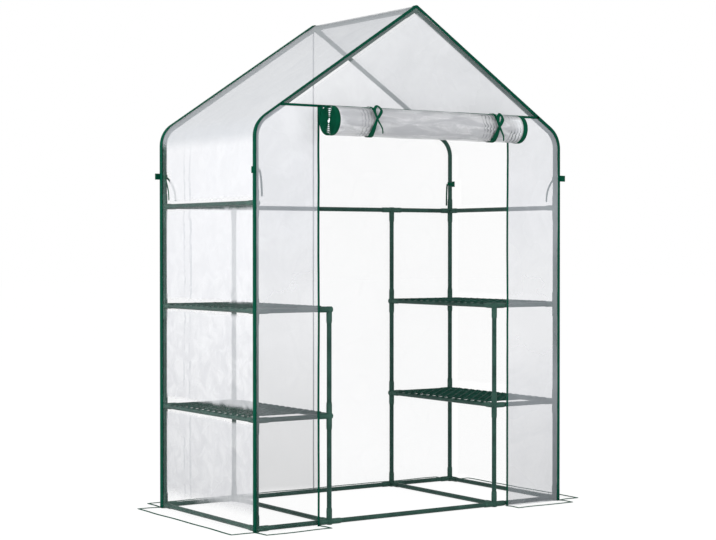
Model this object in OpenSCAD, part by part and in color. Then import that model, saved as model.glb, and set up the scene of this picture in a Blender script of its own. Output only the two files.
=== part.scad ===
// Walk-in greenhouse: a frame of steel tubes plugged into moulded connectors, with four mesh
// shelves, under a cover of clear film whose front door is rolled up and tied.
// Origin on the floor at the middle of the plan, +Z up, the doorway facing -Y.

/* [Overall size] */
// Width over the film side walls
width = 1430; // [1300:10:1800]
// Depth over the film end walls
depth = 730; // [600:10:1200]
// Height to the ridge of the film
height = 1950; // [1850:10:2150]
// Height at which the wall planes would meet the roof planes
eave_h = 1478; // [1440:1:1560]
// Outer radius of the film's bend at each eave
eave_r = 100; // [70:5:130]

/* [Frame] */
// Diameter of the steel tubes
tube_d = 18; // [12:0.5:20]
// Height of the lower shelf rails
lower_h = 403; // [300:1:450]
// Height of the upper shelf rails
upper_h = 797; // [700:1:850]
// Height of the top rails
top_h = 1187; // [1100:1:1250]
// Shelf width between the centres of its side rails
shelf_w = 313; // [240:1:340]
// Length of the swaged end that joins a bent post top to its roof tube
swage_len = 40; // [20:1:60]
// Wall of the roof tube round that swaged end
swage_wall = 1; // [0.6:0.1:1.5]

/* [Connectors] */
// Wall of a socket sleeve
sleeve_wall = 1.6; // [1.4:0.1:4]
// Length of a sleeve from the joint's centre to its mouth
sleeve_len = 50; // [40:1:60]
// Solid core from the joint's centre to the bottom of a socket
core_len = 12; // [11:1:16]
// Length of the taper at a sleeve's mouth
mouth_len = 8; // [2:1:12]
// Wall left at the tip of a sleeve's mouth
mouth_wall = 0.9; // [0.6:0.1:1.3]
// Rise of the flat cap behind a sleeve that has no opposite one
cap_rise = 0.8; // [0.5:0.1:3]
// Radial clearance of a tube in its socket
socket_gap = 0.1; // [0.05:0.05:0.3]

/* [Shelf mesh] */
// Thickness of the mesh wires
wire_d = 3; // [2:0.5:5]
// Spacing of the crossings along the edges of the mesh
mesh_pitch = 43; // [30:1:60]
// Gap between the mesh and the mouths of the corner sleeves
mesh_clear = 5; // [2:1:30]

/* [Film cover] */
// Thickness of the film
film_t = 1; // [0.5:0.1:2]
// Gap between the film and the frame
film_gap = 0.3; // [0.1:0.1:0.9]
// Width of the flaps on the ground along both sides
side_skirt_w = 98; // [60:1:160]
// Width of the flap on the ground along the back
back_skirt_w = 108; // [80:1:160]
// Width of the flaps on the ground beside the doorway
front_skirt_w = 80; // [50:1:120]
// Width of the sewn binding
binding_w = 9; // [4:0.5:12]
// Part of that width that stands out beyond the film at the edges of the end walls
binding_rim = 4; // [0:0.5:6]
// Thickness of the sewn binding
binding_t = 1.2; // [0.5:0.1:3]

/* [Door] */
// Width of the doorway between the front panels
door_w = 880; // [840:2:940]
// Height of the seam over the doorway, as a share of the way from the eaves to the ridge
seam_share = 0.144; // [0.1:0.002:0.2]
// Reach of the rolled-up door past each side of the doorway
roll_over = 7; // [0:1:15]
// Diameter of the rolled-up door
roll_d = 114; // [80:1:118]
// Distance of the roll in front of the front film
roll_lead = 12; // [2:1:16]
// Diameter of the hollow inside the roll
roll_core_d = 16; // [8:1:30]
// Turns of film in the roll
roll_turns = 8; // [4:1:10]
// Distance of the left tie from the middle
left_tie_x = 260; // [150:1:400]
// Distance of the right tie from the middle
right_tie_x = 320; // [150:1:400]
// Width of a tie
tie_w = 18; // [8:1:30]
// Thickness of the ties and straps
webbing_t = 1.5; // [0.8:0.1:3]

/* [Corner straps] */
// Height of the straps on the corner posts above the top rails
strap_rise = 118; // [110:1:126]
// Width of the tab outside the film
strap_w = 24; // [15:1:40]
// Length of the tab outside the film
tab_len = 26; // [10:1:50]
// Width of the tape tied round the post
tape_w = 14; // [8:1:20]
// Length of the tape's hanging tail
tail_len = 95; // [40:1:98]
// Angle at which the tail hangs off the post
tail_angle = 12; // [10:1:25]

/* [Hidden] */
$fn = 48;

frame_green = "#3c6152";
fitting_green = "#4b735f";
binding_green = "#005a32";
film_tint = [0.9, 0.92, 0.95, 0.45];

// Clearance of loose pieces that rest on or hang round another
seat_gap = 0.2;

tube_r = tube_d / 2;
sleeve_r = tube_r + socket_gap + sleeve_wall;
mouth_r = tube_r + socket_gap + mouth_wall;
cap_len = sleeve_r + cap_rise;

// The tube centres run this far inside the outer face of the film
frame_inset = film_t + film_gap + cap_len;
post_x = width / 2 - frame_inset;
post_y = depth / 2 - frame_inset;
inner_x = post_x - shelf_w;
base_h = cap_len;
levels = [base_h, lower_h, upper_h, top_h];

roof_slope = atan((height - eave_h) / (width / 2));
bend_angle = 90 - roof_slope;
eave_x = width / 2 - eave_r;
eave_z = eave_h - eave_r * (1 - sin(roof_slope)) / cos(roof_slope);
ridge_z = height - frame_inset / cos(roof_slope);
seam_h = eave_h + seam_share * (height - eave_h);
strap_h = top_h + strap_rise;

mesh_w = shelf_w + tube_d;
mesh_l = 2 * (post_y - sleeve_len - mesh_clear);

roll_pitch = (roll_d - film_t - roll_core_d) / (2 * roll_turns - 1);
roll_z = seam_h - roll_d / 2 - binding_w / 2;
roll_y = film_t / 2 - depth / 2 - roll_lead - roll_core_d / 2 - roll_turns * roll_pitch;
roll_upper_r = roll_core_d / 2 + (roll_turns - 1) * roll_pitch;
roll_lower_r = roll_upper_r + roll_pitch / 2;
// The front end of a tie stops short of the top of the roll
tie_end_angle = 100;

// Draws its children on the right, and mirrored on the left
module both_sides() {
  children();
  mirror([1, 0, 0]) children();
}

// Extrudes an outline drawn in X and Z along Y
module along_y(y, length) {
  translate([0, y + length, 0]) rotate([90, 0, 0]) linear_extrude(length) children();
}

// Extrudes an outline drawn in Y and Z along X
module along_x(x, length) {
  translate([x, 0, 0]) rotate([90, 0, 90]) linear_extrude(length) children();
}

// Tube along +Z that seats in the sockets of two joints, the first at the origin
module tube(spacing) {
  color(frame_green) translate([0, 0, core_len]) cylinder(d = tube_d, h = spacing - 2 * core_len);
}

module tube_x(joint, spacing) {
  translate(joint) rotate([0, 90, 0]) tube(spacing);
}

module tube_y(joint, spacing) {
  translate(joint) rotate([-90, 0, 0]) tube(spacing);
}

// Upright of one tube between each pair of levels, from the floor to the given level
module upright(x, y, top_level) {
  for (i = [0 : top_level - 1])
    translate([x, y, levels[i]]) tube(levels[i + 1] - levels[i]);
}

// Sleeve along Z: each end is an open socket with a tapered mouth, or a flat cap
module sleeve(low, high) {
  bottom = low ? -sleeve_len : -cap_len;
  top = high ? sleeve_len : cap_len;
  rotate_extrude() polygon([
    [0, bottom],
    [low ? mouth_r : sleeve_r - cap_rise, bottom],
    [sleeve_r, bottom + (low ? mouth_len : cap_rise)],
    [sleeve_r, top - (high ? mouth_len : cap_rise)],
    [high ? mouth_r : sleeve_r - cap_rise, top],
    [0, top]
  ]);
}

// Socket for a tube, bored along +Z from the joint's core to past the mouth
module socket() {
  translate([0, 0, core_len]) cylinder(r = tube_r + socket_gap, h = sleeve_len);
}

// Connector with sockets where x, y and z list a 1, as [towards minus, towards plus]
module connector(x, y, z) {
  color(fitting_green) difference() {
    union() {
      if (max(x) > 0) rotate([0, 90, 0]) sleeve(x[0] > 0, x[1] > 0);
      if (max(y) > 0) rotate([-90, 0, 0]) sleeve(y[0] > 0, y[1] > 0);
      if (max(z) > 0) sleeve(z[0] > 0, z[1] > 0);
    }
    if (x[0] > 0) rotate([0, -90, 0]) socket();
    if (x[1] > 0) rotate([0, 90, 0]) socket();
    if (y[0] > 0) rotate([90, 0, 0]) socket();
    if (y[1] > 0) rotate([-90, 0, 0]) socket();
    if (z[0] > 0) rotate([180, 0, 0]) socket();
    if (z[1] > 0) socket();
  }
}

module base_connectors() {
  both_sides() {
    translate([post_x, -post_y, base_h]) connector([1, 0], [0, 1], [0, 1]);
    translate([post_x, post_y, base_h]) connector([1, 0], [1, 0], [0, 1]);
    translate([inner_x, -post_y, base_h]) connector([1, 1], [0, 1], [0, 1]);
    translate([inner_x, post_y, base_h]) connector([1, 1], [1, 0], [0, 1]);
  }
}

module lower_connectors() {
  both_sides() {
    translate([post_x, -post_y, lower_h]) connector([1, 0], [0, 1], [1, 1]);
    translate([post_x, post_y, lower_h]) connector([1, 0], [1, 0], [1, 1]);
    translate([inner_x, -post_y, lower_h]) connector([0, 1], [0, 1], [1, 1]);
    translate([inner_x, post_y, lower_h]) connector([0, 1], [1, 0], [1, 1]);
  }
}

// The inner front posts end at this level, so their connectors have no socket above
module upper_connectors() {
  both_sides() {
    translate([post_x, -post_y, upper_h]) connector([1, 0], [0, 1], [1, 1]);
    translate([post_x, post_y, upper_h]) connector([1, 0], [1, 0], [1, 1]);
    translate([inner_x, -post_y, upper_h]) connector([0, 1], [0, 1], [1, 0]);
    translate([inner_x, post_y, upper_h]) connector([0, 1], [1, 0], [1, 1]);
  }
}

module top_connectors() {
  both_sides() {
    translate([post_x, -post_y, top_h]) connector([0, 0], [0, 1], [1, 1]);
    translate([post_x, post_y, top_h]) connector([1, 0], [1, 0], [1, 1]);
    translate([inner_x, post_y, top_h]) connector([1, 1], [0, 0], [1, 0]);
  }
}

// Three-way connector at one end of the ridge, with its pole socket towards +Y
module ridge_connector() {
  color(fitting_green) difference() {
    union() {
      rotate([-90, 0, 0]) sleeve(false, true);
      both_sides() rotate([0, 90 + roof_slope, 0]) sleeve(false, true);
    }
    rotate([-90, 0, 0]) socket();
    both_sides() rotate([0, 90 + roof_slope, 0]) socket();
  }
}

module ridge_connectors() {
  translate([0, -post_y, ridge_z]) ridge_connector();
  translate([0, post_y, ridge_z]) mirror([0, 1, 0]) ridge_connector();
}

// Rail across the floor in three lengths, between the connectors at one end wall
module cross_rail(y, h) {
  tube_x([-inner_x, y, h], 2 * inner_x);
  both_sides() tube_x([inner_x, y, h], shelf_w);
}

module base_front_rail() {
  cross_rail(-post_y, base_h);
}

module base_back_rail() {
  cross_rail(post_y, base_h);
}

module base_side_rails() {
  both_sides() tube_y([post_x, -post_y, base_h], 2 * post_y);
}

module base_inner_rails() {
  both_sides() tube_y([inner_x, -post_y, base_h], 2 * post_y);
}

module front_left_post() {
  upright(-post_x, -post_y, 3);
}

module front_right_post() {
  upright(post_x, -post_y, 3);
}

module back_left_post() {
  upright(-post_x, post_y, 3);
}

module back_right_post() {
  upright(post_x, post_y, 3);
}

module front_inner_posts() {
  both_sides() upright(inner_x, -post_y, 2);
}

module back_inner_posts() {
  both_sides() upright(inner_x, post_y, 3);
}

// Right-hand rafter: a post top bent over the eave, and a roof tube slipped over its swaged end
module rafter(y) {
  bend_r = eave_r - frame_inset;
  swage_r = tube_r - swage_wall;
  run = (eave_x + bend_r * sin(roof_slope)) / cos(roof_slope);
  color(frame_green) translate([0, y, 0]) {
    translate([post_x, 0, top_h + core_len]) cylinder(d = tube_d, h = eave_z - top_h - core_len);
    translate([eave_x, 0, eave_z]) rotate([90, 0, 0])
      rotate_extrude(angle = bend_angle) translate([bend_r, 0]) circle(d = tube_d);
    translate([0, 0, ridge_z]) rotate([0, 90 + roof_slope, 0]) {
      translate([0, 0, run - swage_len]) cylinder(r = swage_r, h = swage_len + swage_wall);
      difference() {
        translate([0, 0, core_len]) cylinder(d = tube_d, h = run - core_len - seat_gap);
        translate([0, 0, run - swage_len - seat_gap])
          cylinder(r = swage_r + socket_gap, h = 2 * swage_len);
      }
    }
  }
}

module front_left_rafter() {
  mirror([1, 0, 0]) rafter(-post_y);
}

module front_right_rafter() {
  rafter(-post_y);
}

module back_left_rafter() {
  mirror([1, 0, 0]) rafter(post_y);
}

module back_right_rafter() {
  rafter(post_y);
}

module ridge_pole() {
  tube_y([0, -post_y, ridge_z], 2 * post_y);
}

module top_side_rails() {
  both_sides() tube_y([post_x, -post_y, top_h], 2 * post_y);
}

module top_back_rail() {
  cross_rail(post_y, top_h);
}

// Four rails round one shelf on the right
module shelf_rails(h) {
  tube_x([inner_x, -post_y, h], shelf_w);
  tube_x([inner_x, post_y, h], shelf_w);
  tube_y([inner_x, -post_y, h], 2 * post_y);
  tube_y([post_x, -post_y, h], 2 * post_y);
}

module lower_left_rails() {
  mirror([1, 0, 0]) shelf_rails(lower_h);
}

module lower_right_rails() {
  shelf_rails(lower_h);
}

module upper_left_rails() {
  mirror([1, 0, 0]) shelf_rails(upper_h);
}

module upper_right_rails() {
  shelf_rails(upper_h);
}

// Diamond lattice of wires inside a border wire, centred on the origin
module lattice(w, l) {
  reach = ceil((w + l) / 2 / mesh_pitch);
  intersection() {
    square([w, l], center = true);
    for (tilt = [-45, 45], i = [-reach : reach])
      translate([i * mesh_pitch, 0]) rotate(tilt) square([w + 2 * l, wire_d], center = true);
  }
  difference() {
    square([w, l], center = true);
    square([w - 2 * wire_d, l - 2 * wire_d], center = true);
  }
}

// Mesh of one shelf on the right, laid over both side rails
module shelf_mesh(h) {
  color(frame_green) translate([inner_x + shelf_w / 2, 0, h + tube_r + seat_gap])
    linear_extrude(wire_d) lattice(mesh_w, mesh_l);
}

module lower_left_mesh() {
  mirror([1, 0, 0]) shelf_mesh(lower_h);
}

module lower_right_mesh() {
  shelf_mesh(lower_h);
}

module upper_left_mesh() {
  mirror([1, 0, 0]) shelf_mesh(upper_h);
}

module upper_right_mesh() {
  shelf_mesh(upper_h);
}

// End-wall outline, set in from the outer face of the cover, down to the given floor
module outline(inset, floor_z) {
  side_x = width / 2 - inset;
  bend_r = eave_r - inset;
  roof_x = eave_x + bend_r * sin(roof_slope);
  roof_z = eave_z + bend_r * cos(roof_slope);
  polygon([
    [-side_x, floor_z], [side_x, floor_z], [side_x, eave_z], [roof_x, roof_z],
    [0, height - inset / cos(roof_slope)],
    [-roof_x, roof_z], [-side_x, eave_z]
  ]);
  for (side = [-1, 1]) translate([side * eave_x, eave_z]) circle(r = bend_r);
}

// Film side wall on the right
module side_wall() {
  color(film_tint) translate([width / 2 - film_t, -depth / 2, 0]) cube([film_t, depth, eave_z]);
}

// Film bent over the eave on the right
module eave() {
  reach = 2 * eave_r;
  color(film_tint) along_y(-depth / 2, depth) translate([eave_x, eave_z]) intersection() {
    difference() {
      circle(r = eave_r);
      circle(r = eave_r - film_t);
    }
    polygon([for (a = [0, bend_angle / 2, bend_angle]) reach * [cos(a), sin(a)], [0, 0]]);
  }
}

// Film roof slope on the right, from the eave's bend to the ridge
module roof() {
  outer = [eave_x, eave_z] + eave_r * [sin(roof_slope), cos(roof_slope)];
  inner = [eave_x, eave_z] + (eave_r - film_t) * [sin(roof_slope), cos(roof_slope)];
  color(film_tint) along_y(-depth / 2, depth)
    polygon([outer, [0, height], [0, height - film_t / cos(roof_slope)], inner]);
}

module left_wall() {
  mirror([1, 0, 0]) side_wall();
}

module left_eave() {
  mirror([1, 0, 0]) eave();
}

module left_roof() {
  mirror([1, 0, 0]) roof();
}

module right_roof() {
  roof();
}

module right_eave() {
  eave();
}

module right_wall() {
  side_wall();
}

module back_wall() {
  color(film_tint) along_y(depth / 2 - film_t, film_t) outline(film_t, 0);
}

// Front panel beside the doorway on the right, up to the seam over it
module front_panel() {
  color(film_tint) along_y(-depth / 2, film_t) intersection() {
    outline(film_t, 0);
    translate([door_w / 2, 0]) square([width, seam_h]);
  }
}

module front_left_panel() {
  mirror([1, 0, 0]) front_panel();
}

module front_right_panel() {
  front_panel();
}

module front_gable() {
  color(film_tint) along_y(-depth / 2, film_t) intersection() {
    outline(film_t, 0);
    translate([-width, seam_h]) square([2 * width, height]);
  }
}

// Flaps on the ground along both sides, the back and each side of the doorway
module ground_skirts() {
  front_w = (width - door_w) / 2;
  color(film_tint) {
    both_sides() translate([width / 2, -depth / 2, 0]) cube([side_skirt_w, depth, film_t]);
    both_sides() translate([door_w / 2, -depth / 2 - front_skirt_w, 0])
      cube([front_w, front_skirt_w, film_t]);
    translate([-width / 2, depth / 2, 0]) cube([width, back_skirt_w, film_t]);
  }
}

// Binding round the edge of an end wall, from the floor over the ridge to the floor
module edge_binding(y) {
  color(binding_green) along_y(y, binding_t) difference() {
    outline(-binding_rim, 0);
    outline(binding_w - binding_rim, -1);
  }
}

module front_edge_binding() {
  edge_binding(-depth / 2 - binding_t);
}

module back_edge_binding() {
  edge_binding(depth / 2);
}

// Binding down both edges of the doorway and along the seam from roof edge to roof edge
module door_binding() {
  leg_x = door_w / 2;
  seam_low = seam_h - binding_w / 2;
  color(binding_green) along_y(-depth / 2 - binding_t, binding_t) intersection() {
    outline(binding_w - binding_rim, 0);
    polygon([
      [-width, seam_low + binding_w], [-width, seam_low],
      [-leg_x - binding_w, seam_low], [-leg_x - binding_w, 0], [-leg_x, 0], [-leg_x, seam_low],
      [leg_x, seam_low], [leg_x, 0], [leg_x + binding_w, 0], [leg_x + binding_w, seam_low],
      [width, seam_low], [width, seam_low + binding_w]
    ]);
  }
}

// Half of a ring about the origin, above or below the X axis
module half_ring(mid_r, thickness, above) {
  outer_r = mid_r + thickness / 2;
  intersection() {
    difference() {
      circle(r = outer_r);
      circle(r = outer_r - thickness);
    }
    translate([-outer_r, above ? 0 : -outer_r]) square([2 * outer_r, outer_r]);
  }
}

// Two-centre spiral: half rings above and below take turns, each half a pitch wider
module spiral() {
  for (i = [0 : roll_turns - 1]) {
    turn_r = roll_core_d / 2 + i * roll_pitch;
    half_ring(turn_r, film_t, true);
    translate([roll_pitch / 2, 0]) half_ring(turn_r + roll_pitch / 2, film_t, false);
  }
}

// Strip that rises from the back of the roll and bends into the plane of the front film
module hanging_strip(start, thickness) {
  rise = seam_h - roll_z;
  bend_z = rise - binding_w;
  near = start - thickness / 2;
  far = start + thickness / 2;
  polygon([
    [near, 0], [far, 0], [far + roll_lead, bend_z], [far + roll_lead, rise],
    [near + roll_lead, rise], [near + roll_lead, bend_z]
  ]);
}

// Door wound from its hem up to the seam over the doorway
module door_roll() {
  roll_l = door_w + 2 * roll_over;
  color(film_tint) translate([0, roll_y, roll_z]) {
    along_x(-roll_l / 2, roll_l) spiral();
    along_x(-door_w / 2, door_w) hanging_strip(roll_pitch / 2 + roll_lower_r, film_t);
  }
}

// Tie that comes down behind the door, passes under the roll and up its front
module door_tie(x) {
  slack = film_t / 2 + seat_gap + webbing_t / 2;
  upper_r = roll_upper_r + slack;
  lower_r = roll_lower_r + slack;
  reach = 2 * upper_r;
  color(binding_green) along_x(x - tie_w / 2, tie_w) translate([roll_y, roll_z]) {
    translate([roll_pitch / 2, 0]) half_ring(lower_r, webbing_t, false);
    intersection() {
      half_ring(upper_r, webbing_t, true);
      polygon([[0, 0], [-reach, 0], [-reach, reach], reach * [cos(tie_end_angle), sin(tie_end_angle)]]);
    }
    hanging_strip(roll_pitch / 2 + lower_r, webbing_t);
  }
}

module door_ties() {
  door_tie(-left_tie_x);
  door_tie(right_tie_x);
}

// Strap at the right front corner: a tab outside the film, and inside a tape tied round the post
module corner_strap() {
  tape_r = tube_r + seat_gap + webbing_t;
  color(binding_green) {
    translate([width / 2, -depth / 2, strap_h - strap_w / 2]) cube([tab_len, webbing_t, strap_w]);
    translate([post_x, -post_y, strap_h]) difference() {
      union() {
        translate([0, 0, -tape_w / 2]) cylinder(r = tape_r, h = tape_w);
        translate([-tape_w / 2, tape_r - webbing_t, 0]) rotate([tail_angle, 0, 0])
          translate([0, 0, -tail_len]) cube([tape_w, webbing_t, tail_len]);
      }
      translate([0, 0, -tail_len]) cylinder(r = tape_r - webbing_t, h = 2 * tail_len);
    }
  }
}

module corner_straps() {
  both_sides() {
    corner_strap();
    mirror([0, 1, 0]) corner_strap();
  }
}

base_connectors();
lower_connectors();
upper_connectors();
top_connectors();
ridge_connectors();
base_front_rail();
base_back_rail();
base_side_rails();
base_inner_rails();
front_left_post();
front_right_post();
back_left_post();
back_right_post();
front_inner_posts();
back_inner_posts();
front_left_rafter();
front_right_rafter();
back_left_rafter();
back_right_rafter();
ridge_pole();
top_side_rails();
top_back_rail();
lower_left_rails();
lower_right_rails();
upper_left_rails();
upper_right_rails();
lower_left_mesh();
lower_right_mesh();
upper_left_mesh();
upper_right_mesh();
left_wall();
left_eave();
left_roof();
right_roof();
right_eave();
right_wall();
back_wall();
front_left_panel();
front_right_panel();
front_gable();
ground_skirts();
front_edge_binding();
back_edge_binding();
door_binding();
door_roll();
door_ties();
corner_straps();
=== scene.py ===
import math

import bmesh
import bpy
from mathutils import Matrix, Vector, noise


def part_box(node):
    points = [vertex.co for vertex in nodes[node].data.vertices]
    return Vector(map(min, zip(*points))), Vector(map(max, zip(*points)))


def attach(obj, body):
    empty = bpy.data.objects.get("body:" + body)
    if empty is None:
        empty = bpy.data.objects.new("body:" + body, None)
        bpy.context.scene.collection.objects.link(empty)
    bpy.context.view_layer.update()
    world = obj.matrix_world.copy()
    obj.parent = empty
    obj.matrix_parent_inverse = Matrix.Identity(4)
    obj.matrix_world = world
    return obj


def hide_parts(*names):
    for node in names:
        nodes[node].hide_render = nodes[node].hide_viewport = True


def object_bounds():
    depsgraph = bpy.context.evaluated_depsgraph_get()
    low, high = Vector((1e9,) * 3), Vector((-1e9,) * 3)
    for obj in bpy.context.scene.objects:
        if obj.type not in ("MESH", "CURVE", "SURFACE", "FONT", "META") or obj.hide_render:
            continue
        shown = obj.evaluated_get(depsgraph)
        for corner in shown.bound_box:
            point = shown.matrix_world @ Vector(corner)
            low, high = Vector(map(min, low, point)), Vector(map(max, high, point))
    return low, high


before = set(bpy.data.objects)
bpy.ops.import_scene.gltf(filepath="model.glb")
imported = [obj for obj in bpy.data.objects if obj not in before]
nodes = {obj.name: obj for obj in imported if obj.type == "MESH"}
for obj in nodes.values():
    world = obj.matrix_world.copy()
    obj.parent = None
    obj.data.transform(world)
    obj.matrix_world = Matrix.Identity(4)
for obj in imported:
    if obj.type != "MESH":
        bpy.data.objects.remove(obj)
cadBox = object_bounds()
print("frame loaded:", len(nodes), "nodes")


# shader maths: a wire is a socket that takes part in plain expressions
class Wire:
    def __init__(self, look, socket):
        self.look = look
        self.socket = socket

    def maths(self, operation, first, second):
        return self.look.node("Math", {"operation": operation}, {0: first, 1: second})

    def __add__(self, other):
        return self.maths("ADD", self, other)

    def __radd__(self, other):
        return self.maths("ADD", other, self)

    def __sub__(self, other):
        return self.maths("SUBTRACT", self, other)

    def __rsub__(self, other):
        return self.maths("SUBTRACT", other, self)

    def __mul__(self, other):
        return self.maths("MULTIPLY", self, other)

    def __rmul__(self, other):
        return self.maths("MULTIPLY", other, self)

    def __abs__(self):
        return self.maths("ABSOLUTE", self, 0)

    def atLeast(self, other):
        return self.maths("MAXIMUM", self, other)

    def atMost(self, other):
        return self.maths("MINIMUM", self, other)

    def isOver(self, other):
        return self.maths("GREATER_THAN", self, other)


class Look:
    def __init__(self, name, owner=None):
        self.owner = owner or bpy.data.materials.new(name)
        self.owner.use_nodes = True
        self.tree = self.owner.node_tree
        self.tree.nodes.clear()

    # any node: its type, its settings first, then the values or links of its sockets
    def node(self, kind, settings=None, sockets=None, out=0):
        made = self.tree.nodes.new("ShaderNode" + kind)
        for key, value in (settings or {}).items():
            setattr(made, key, value)
        for key, value in (sockets or {}).items():
            if isinstance(value, Wire):
                self.tree.links.new(value.socket, made.inputs[key])
            else:
                made.inputs[key].default_value = value
        return Wire(self, made.outputs[out]) if made.outputs else None

    def place(self):
        return self.node("TexCoord", out="Object")

    def split(self, vector):
        made = self.node("SeparateXYZ", {}, {0: vector}).socket.node
        return [Wire(self, socket) for socket in made.outputs]

    def cloud(self, vector, scale, detail=3.0, distortion=0.0):
        sockets = {"Vector": vector, "Scale": scale, "Detail": detail, "Distortion": distortion}
        return self.node("TexNoise", {}, sockets)

    def stretch(self, vector, factors):
        return self.node("VectorMath", {"operation": "MULTIPLY"}, {0: vector, 1: factors})

    # 0 below low, 1 above high, smooth between
    def step(self, value, low, high):
        sockets = {"Value": value, "From Min": low, "From Max": high}
        return self.node("MapRange", {"interpolation_type": "SMOOTHSTEP"}, sockets)

    # 1 within half a width of a line, fading out over the soft distance
    def band(self, value, centre, half, soft):
        return 1 - self.step(abs(value - centre), half, half + soft)

    def blend(self, factor, first, second):
        return self.node("Mix", {"data_type": "RGBA"}, {0: factor, 6: first, 7: second}, out=2)

    def bump(self, height, distance, strength=1.0):
        return self.node("Bump", {}, {"Height": height, "Distance": distance, "Strength": strength})

    def finish(self, sockets):
        surface = self.node("BsdfPrincipled", {}, sockets)
        self.node("OutputMaterial", {}, {"Surface": surface})
        return self.owner


# lines of the cover, read off the frame
wallLow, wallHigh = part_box("left_wall")
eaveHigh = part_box("left_eave")[1]
roofLow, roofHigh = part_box("left_roof")
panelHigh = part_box("front_left_panel")[1]
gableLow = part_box("front_gable")[0]
filmThick = wallHigh.x - wallLow.x
halfWidth = -wallLow.x
halfDepth = wallHigh.y
eaveZ = wallHigh.z
ridgeZ = roofHigh.z
roofSlope = math.atan2(ridgeZ - eaveHigh.z, -roofLow.x)
eaveRadius = (eaveHigh.z - eaveZ) / math.cos(roofSlope)
doorHalf = -panelHigh.x
doorTop = gableLow.z
doorTapeWidth = 2 * (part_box("door_binding")[1].z - doorTop)
rollLow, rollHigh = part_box("door_roll")
seamGap = doorTapeWidth / 2
rollRadius = (rollHigh.z - rollLow.z - seamGap) / 2
rollY = rollLow.y + rollRadius
rollLift = 0.006  # the wound door hangs a little higher than its solid
rollZ = rollLow.z + rollRadius + rollLift
tieLow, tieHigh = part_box("door_ties")
tieShift = (-0.001, -0.028)  # from the outer edges of the tie solids to the middles of the ties
tieSpots = [tieLow.x + tieShift[0], tieHigh.x + tieShift[1]]
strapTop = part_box("corner_straps")[1].z
postLow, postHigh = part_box("front_left_post")
postX = -(postLow.x + postHigh.x) / 2
postY = -(postLow.y + postHigh.y) / 2
tubeRadius = (postHigh.x - postLow.x) / 2
railLevels = []
for railName in ("base_side_rails", "lower_left_rails", "upper_left_rails", "top_side_rails"):
    railLow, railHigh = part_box(railName)
    railLevels.append((railLow.z + railHigh.z) / 2)


# the cover's outline from the left floor over the ridge to the right floor: (x, z, normal x, normal z)
def coverProfile(inset, step, ridgeRadius):
    centreX = halfWidth - eaveRadius
    bendRadius = eaveRadius - inset
    apex = ridgeZ - inset / math.cos(roofSlope)
    ridgeCentre = apex - ridgeRadius / math.cos(roofSlope)
    half = []
    ridgeSteps = 3
    for i in range(ridgeSteps):
        a = roofSlope * i / ridgeSteps
        sine, cosine = math.sin(a), math.cos(a)
        half.append((ridgeRadius * sine, ridgeCentre + ridgeRadius * cosine, sine, cosine))
    nx, nz = math.sin(roofSlope), math.cos(roofSlope)
    x0, z0 = ridgeRadius * nx, ridgeCentre + ridgeRadius * nz
    x1, z1 = centreX + bendRadius * nx, eaveZ + bendRadius * nz
    count = math.ceil(math.hypot(x1 - x0, z1 - z0) / step)
    for i in range(count):
        t = i / count
        half.append((x0 + (x1 - x0) * t, z0 + (z1 - z0) * t, nx, nz))
    bend = math.pi / 2 - roofSlope
    count = max(6, math.ceil(bendRadius * bend / step))
    for i in range(count):
        a = roofSlope + bend * i / count
        sine, cosine = math.sin(a), math.cos(a)
        half.append((centreX + bendRadius * sine, eaveZ + bendRadius * cosine, sine, cosine))
    count = math.ceil(eaveZ / step)
    for i in range(count + 1):
        half.append((halfWidth - inset, eaveZ * (1 - i / count), 1.0, 0.0))
    left = [(-x, z, -a, b) for x, z, a, b in half[:0:-1]]
    return left + half


# mesh helpers
def smoothStep(value, low, high):
    t = min(1.0, max(0.0, (value - low) / (high - low)))
    return t * t * (3 - 2 * t)


def addObject(name, mesh, material):
    mesh.materials.append(material)
    made = bpy.data.objects.new(name, mesh)
    bpy.context.scene.collection.objects.link(made)
    return made


# rows of points joined into quads, with a UV map in metres: u along a row, v from row to row
def gridSheet(name, rows, material, flip=False):
    wide = len(rows[0])
    points = [p for row in rows for p in row]
    faces = []
    for i in range(len(rows) - 1):
        for j in range(wide - 1):
            a = i * wide + j
            corners = (a, a + wide, a + wide + 1, a + 1)
            faces.append(corners[::-1] if flip else corners)
    mesh = bpy.data.meshes.new(name)
    mesh.from_pydata(points, [], faces)
    along = [0.0]
    for j in range(1, wide):
        along.append(along[-1] + (rows[0][j] - rows[0][j - 1]).length)
    down = [0.0]
    for i in range(1, len(rows)):
        down.append(down[-1] + (rows[i][0] - rows[i - 1][0]).length)
    layer = mesh.uv_layers.new(name="cut")
    for loop in mesh.loops:
        layer.data[loop.index].uv = (along[loop.vertex_index % wide], down[loop.vertex_index // wide])
    mesh.shade_smooth()
    return addObject(name, mesh, material)


# strip of tape along a path; across points along its width, lift out of it, a longer across widens it
def tapeMesh(path, across, lift, width, thick):
    w, t = width / 2, thick / 2
    rim = min(t, w) * 0.7
    section = [(-w, -t + rim), (-w + rim, -t), (w - rim, -t), (w, -t + rim)]
    section += [(-a, -b) for a, b in section]
    ring = len(section)
    points, faces = [], []
    for p, side, up in zip(path, across, lift):
        points += [p + side * a + up * b for a, b in section]
    for i in range(len(path) - 1):
        for j in range(ring):
            a, b = i * ring + j, i * ring + (j + 1) % ring
            faces.append((a, b, b + ring, a + ring))
    faces.append(tuple(range(ring)))
    faces.append(tuple(range(len(points) - ring, len(points))))
    return points, faces


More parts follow.
